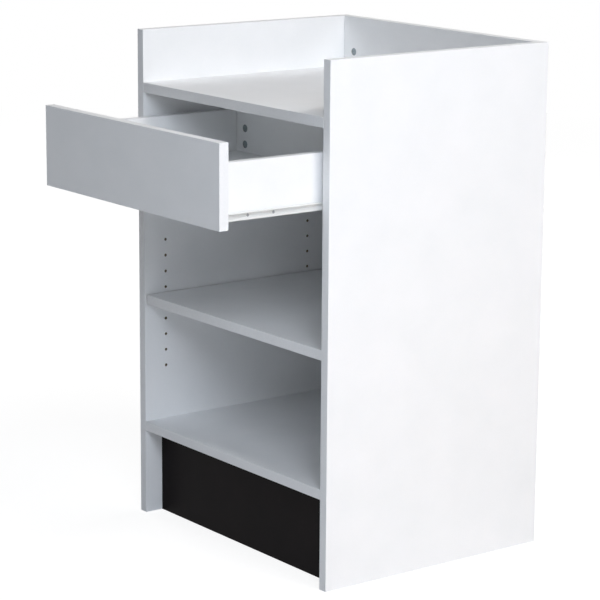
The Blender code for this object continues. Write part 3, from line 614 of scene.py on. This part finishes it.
cam_rows = []
down, forward, rearward = Vector((0, 0, -1)), Vector((0, -1, 0)), Vector((0, 1, 0))
for side, sign in SIDES:
    outward = Vector((sign, 0, 0))
    panel = side_panels[side]
    for place in ("front", "rear"):
        cam_rows.append((f"countertop_fitting_{place}_{side}", countertop, panel, "cabinet", down, outward))
        cam_rows.append((f"deck_fitting_{place}_{side}", bottom_deck, panel, "cabinet", down, outward))
    for place in ("top", "middle", "bottom"):
        cam_rows.append((f"back_fitting_{place}_{side}", back_panel, panel, "cabinet", forward, outward))
    cam_rows.append((f"kick_fitting_{side}", kick_plate, panel, "cabinet", rearward, outward))
    for place in ("upper", "lower"):
        cam_rows.append((f"drawer_back_fitting_{place}_{side}", drawer_back, drawer_sides[side], "drawer",
                         forward, outward))
        cam_rows.append((f"drawer_side_fitting_{place}_{side}", drawer_sides[side], drawer_front, "drawer",
                         -outward, forward))
add_cams(cam_rows)


# Roller slides: 1.2 mm steel rails, folded on a press brake and coated white. One is screwed to each side
# panel, and the other hooks under the drawer side. Each carries one roller, on which the other runs.
SHEET = 0.0012
FOLD = 0.001                 # fold radius at mid thickness
FOLD_STEPS = 4
RAIL_GAP = 0.0003
RAIL_EASE = 0.0002           # its edges, softened by the coating
STOP_WIDTH, STOP_HEIGHT = 0.006, 0.004       # the stops are tabs pressed up at the foot of the web
STOP_EASE = 0.0003
NOTCH_SPACE = 0.002          # the flange is notched this far past the roller
COATING_PEEL = 0.0025        # orange peel of the coating, 1 mm in fact, drawn 2.5 mm


def powder_coat():
    """Epoxy powder baked on steel: white, even, satin, with the soft orange peel of a melted powder."""
    material, tree, shader, place = start_material("white_powder_coated_steel")
    peel = add_node(tree, "TexNoise", {"Scale": 1 / COATING_PEEL, "Detail": 1.0}, {"Vector": place})
    colour = add_node(tree, "Mix", {"data_type": "RGBA", 6: linear("#EDEEEC"), 7: linear("#E3E5E4")},
                      {0: peel.outputs[0]})
    tree.links.new(colour.outputs[2], shader.inputs["Base Color"])
    satin = add_node(tree, "MapRange", {3: 0.26, 4: 0.38}, {0: peel.outputs[0]})
    tree.links.new(satin.outputs[0], shader.inputs["Roughness"])
    bump = add_node(tree, "Bump", {"Strength": 0.2, "Distance": 0.0002}, {"Height": peel.outputs[0]})
    tree.links.new(bump.outputs[0], shader.inputs["Normal"])
    return material


white_coat = powder_coat()


def folded_line(corners):
    """The middle line of a folded sheet: each fold between two corners is an arc."""
    line = [corners[0]]
    for before, corner, after in zip(corners, corners[1:], corners[2:]):
        back, on = (before - corner).normalized(), (after - corner).normalized()
        centre = corner + (back + on) * FOLD
        for step in range(FOLD_STEPS + 1):
            angle = math.pi / 2 * step / FOLD_STEPS
            line.append(centre - on * FOLD * math.cos(angle) - back * FOLD * math.sin(angle))
    return line + [corners[-1]]


def folded_rail(name, corners, stations, cut_away):
    """Sweep a folded sheet along Y through the stations; over the span cut_away it lacks its last flange."""
    shape = bmesh.new()
    line = folded_line([Vector(corner) for corner in corners])
    rows = [[shape.verts.new((point.x, station, point.y)) for point in line] for station in stations]
    for number, (near, far) in enumerate(zip(rows, rows[1:])):
        for place in range(len(line) - 1):
            if number == cut_away and place == len(line) - 2:
                continue
            shape.faces.new((near[place], near[place + 1], far[place + 1], far[place]))
    bmesh.ops.recalc_face_normals(shape, faces=shape.faces)
    holder = bpy.data.objects.new(name, to_mesh(name, shape, white_coat))
    bpy.context.scene.collection.objects.link(holder)
    sheet = holder.modifiers.new("sheet", "SOLIDIFY")
    sheet.thickness = SHEET
    sheet.offset = 0.0
    sheet.use_even_offset = True
    view = bpy.context.evaluated_depsgraph_get()
    mesh = bpy.data.meshes.new_from_object(holder.evaluated_get(view))
    bpy.data.objects.remove(holder)
    return mesh


slide = next(joint for joint in frame["joints"] if joint["name"] == "drawer_slide")
cabinet_rails, drawer_rails = {}, {}
for side, sign in SIDES:
    low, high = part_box(f"cabinet_rail_{side}")
    wall = (low if sign < 0 else high).x - sign * SHEET / 2
    lip = (high if sign < 0 else low).x
    roller_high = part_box(f"cabinet_roller_{side}")[1]
    corners = ((lip, high.z - SHEET / 2), (wall, high.z - SHEET / 2), (wall, low.z + SHEET / 2),
               (lip, low.z + SHEET / 2))
    mesh = folded_rail(f"cabinet_rail_{side}", corners, (low.y, roller_high.y + NOTCH_SPACE, high.y), 0)
    rail = add_piece(f"cabinet_rail_{side}_folded", mesh, "cabinet", "white_coated_steel",
                     f"cabinet_rail_{side}")
    runner_low, runner_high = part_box(f"drawer_roller_{side}")
    stops = (runner_low.y - slide["range_m"][1] - RAIL_GAP - SHEET,
             runner_high.y - slide["range_m"][0] + RAIL_GAP)
    foot = wall - sign * SHEET / 2
    ends = sorted((foot - sign * STOP_WIDTH, foot + sign * SHEET / 4))
    for stop in stops:
        tab = box_shape(Vector((ends[0], stop, low.z + SHEET / 2)),
                        Vector((ends[1], stop + SHEET, low.z + SHEET + STOP_HEIGHT)))
        bmesh.ops.bevel(tab, geom=tab.edges, offset=STOP_EASE, segments=2, profile=0.5, affect="EDGES")
        cut(rail, tab, white_coat, operation="UNION")
    cabinet_rails[side] = rail

    low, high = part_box(f"drawer_rail_{side}")
    face = box_point(f"drawer_side_{side}", Vector((sign, 0, 0))).x
    web = face + sign * (RAIL_GAP + SHEET / 2)
    hook = (high if sign < 0 else low).x
    edge = (low if sign < 0 else high).x
    corners = ((hook, low.z + SHEET / 2), (web, low.z + SHEET / 2), (web, high.z - SHEET / 2),
               (edge, high.z - SHEET / 2))
    mesh = folded_rail(f"drawer_rail_{side}", corners, (low.y, runner_low.y - NOTCH_SPACE, high.y), 1)
    drawer_rails[side] = add_piece(f"drawer_rail_{side}_folded", mesh, "drawer", "white_coated_steel",
                                   f"drawer_rail_{side}")


# Rollers and axles: each roller is a moulded nylon wheel, ivory and slightly waxy, with a dished face. It
# turns on a steel rivet whose domed head keeps it on.
ROLLER_SIDES, RIVET_SIDES = 64, 32
ROLLER_BORE = 0.0023
DISH = 0.0008                # depth of the dished face
RIVET_RADIUS, RIVET_HEAD = 0.002, 0.0035
HEAD_HEIGHT = 0.0008
NYLON_FLOW = 0.006           # moulding flow marks


def moulded_nylon():
    """Natural nylon: ivory white, waxy, and a little light passes into it."""
    material, tree, shader, place = start_material("moulded_nylon")
    flow = add_node(tree, "TexNoise", {"Scale": 1 / NYLON_FLOW, "Detail": 2.0, "Distortion": 1.5},
                    {"Vector": place})
    colour = add_node(tree, "Mix", {"data_type": "RGBA", 6: linear("#EEECE4"), 7: linear("#E2DFD4")},
                      {0: flow.outputs[0]})
    tree.links.new(colour.outputs[2], shader.inputs["Base Color"])
    waxy = add_node(tree, "MapRange", {3: 0.35, 4: 0.5}, {0: flow.outputs[0]})
    tree.links.new(waxy.outputs[0], shader.inputs["Roughness"])
    shader.inputs["IOR"].default_value = 1.53
    shader.inputs["Subsurface Weight"].default_value = 0.1
    shader.inputs["Subsurface Scale"].default_value = 0.002
    return material


nylon = moulded_nylon()
roller_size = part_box("cabinet_roller_left")[1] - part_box("cabinet_roller_left")[0]
half, rim = roller_size.x / 2, roller_size.z / 2
roller_outline = ((ROLLER_BORE, half), (0.0045, half), (0.0052, half - DISH), (rim - 0.0026, half - DISH),
                  (rim - 0.0019, half), (rim - 0.0007, half), (rim - 0.0002, half - 0.0002),
                  (rim, half - 0.0007), (rim, 0.0007 - half), (rim - 0.0002, 0.0002 - half),
                  (rim - 0.0007, -half), (ROLLER_BORE, -half), (ROLLER_BORE, half))
roller_mesh = to_mesh("slide_roller", turned_shape(roller_outline, ROLLER_SIDES), nylon, smooth=50)
head_top = (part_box("cabinet_axle_left")[1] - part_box("cabinet_axle_left")[0]).x
rivet_outline = ((0, 0), (RIVET_RADIUS, 0), (RIVET_RADIUS, head_top - HEAD_HEIGHT),
                 (RIVET_HEAD, head_top - HEAD_HEIGHT), (RIVET_HEAD, head_top - 0.00055),
                 (0.0031, head_top - 0.0002), (0.0022, head_top - 0.00003), (0.0012, head_top),
                 (0.0008, head_top - 0.0003), (0, head_top - 0.00035))
rivet_mesh = to_mesh("roller_rivet", turned_shape(rivet_outline, RIVET_SIDES), zinc_plate, smooth=50)
for side, sign in SIDES:
    for group, rail, way in (("cabinet", cabinet_rails[side], -sign), ("drawer", drawer_rails[side], sign)):
        out = Vector((way, 0, 0))
        roller, axle = f"{group}_roller_{side}", f"{group}_axle_{side}"
        add_piece(roller + "_wheel", roller_mesh, roller, "white_nylon", roller,
                  place=frame_at(box_point(roller, Vector()), out, Vector((0, 0, 1))))
        tail = box_point(axle, -out)
        add_piece(axle + "_rivet", rivet_mesh, group, "zinc_plated_steel", axle,
                  place=frame_at(tail, out, Vector((0, 0, 1))))
        drill(rail, [(tail, out, ROLLER_BORE, SHEET + 0.0002)], white_coat, 24)


# Rail screws: countersunk zinc-plated chipboard screws, two through each rail, flush with its web. They
# sit in seats pressed into the rail and in pilot holes in the board behind it.
SCREW_HEAD, SCREW_CORE, SCREW_TIP = 0.003, 0.0017, 0.002     # two radii, and the length of the tip
SCREW_CROSS = (0.004, 0.0009, 0.0014)        # its recess's length, width and depth
SCREW_SIDES = 32
screw_length = (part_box("drawer_screw_front_left")[1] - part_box("drawer_screw_front_left")[0]).x
screw_outline = ((0, -screw_length), (SCREW_CORE * 0.4, SCREW_TIP * 0.4 - screw_length),
                 (SCREW_CORE, SCREW_TIP - screw_length), (SCREW_CORE, -SHEET), (SCREW_HEAD, -0.00015),
                 (SCREW_HEAD - 0.0001, 0), (0, 0))
screw_mesh = cut_cross(to_mesh("rail_screw", turned_shape(screw_outline, SCREW_SIDES), zinc_plate),
                       *SCREW_CROSS, zinc_plate)
for side, sign in SIDES:
    for group, rail, board, way in (("cabinet", cabinet_rails[side], side_panels[side], -sign),
                                    ("drawer", drawer_rails[side], drawer_sides[side], sign)):
        out = Vector((way, 0, 0))
        pilots, seats = [], bmesh.new()
        for place in ("front", "rear"):
            node = f"{group}_screw_{place}_{side}"
            top = box_point(node, out)
            add_piece(node + "_turned", screw_mesh, group, "zinc_plated_steel", node,
                      place=frame_at(top, out, Vector((0, 0, 1))))
            turn = out.to_track_quat("Z", "Y").to_matrix().to_4x4()
            wide, narrow = SCREW_HEAD + FIT, SCREW_CORE + FIT
            slope = (wide - narrow) / SHEET
            bmesh.ops.create_cone(seats, cap_ends=True, segments=SCREW_SIDES, radius1=narrow - slope * FIT,
                                  radius2=wide + slope * FIT, depth=SHEET + 2 * FIT,
                                  matrix=Matrix.Translation(top - out * SHEET / 2) @ turn)
            pilots.append((top - out * SHEET, -out, narrow, screw_length - SHEET + FIT))
        cut(rail, seats, white_coat)
        drill(board, pilots, core, 24)
        step = rail.modifiers.new("soft_edges", "BEVEL")
        step.width = RAIL_EASE
        step.segments = 2
        step.limit_method = "ANGLE"
        step.angle_limit = math.radians(50)
        rail.data.shade_smooth()
        rail.data.set_sharp_from_angle(angle=math.radians(50))
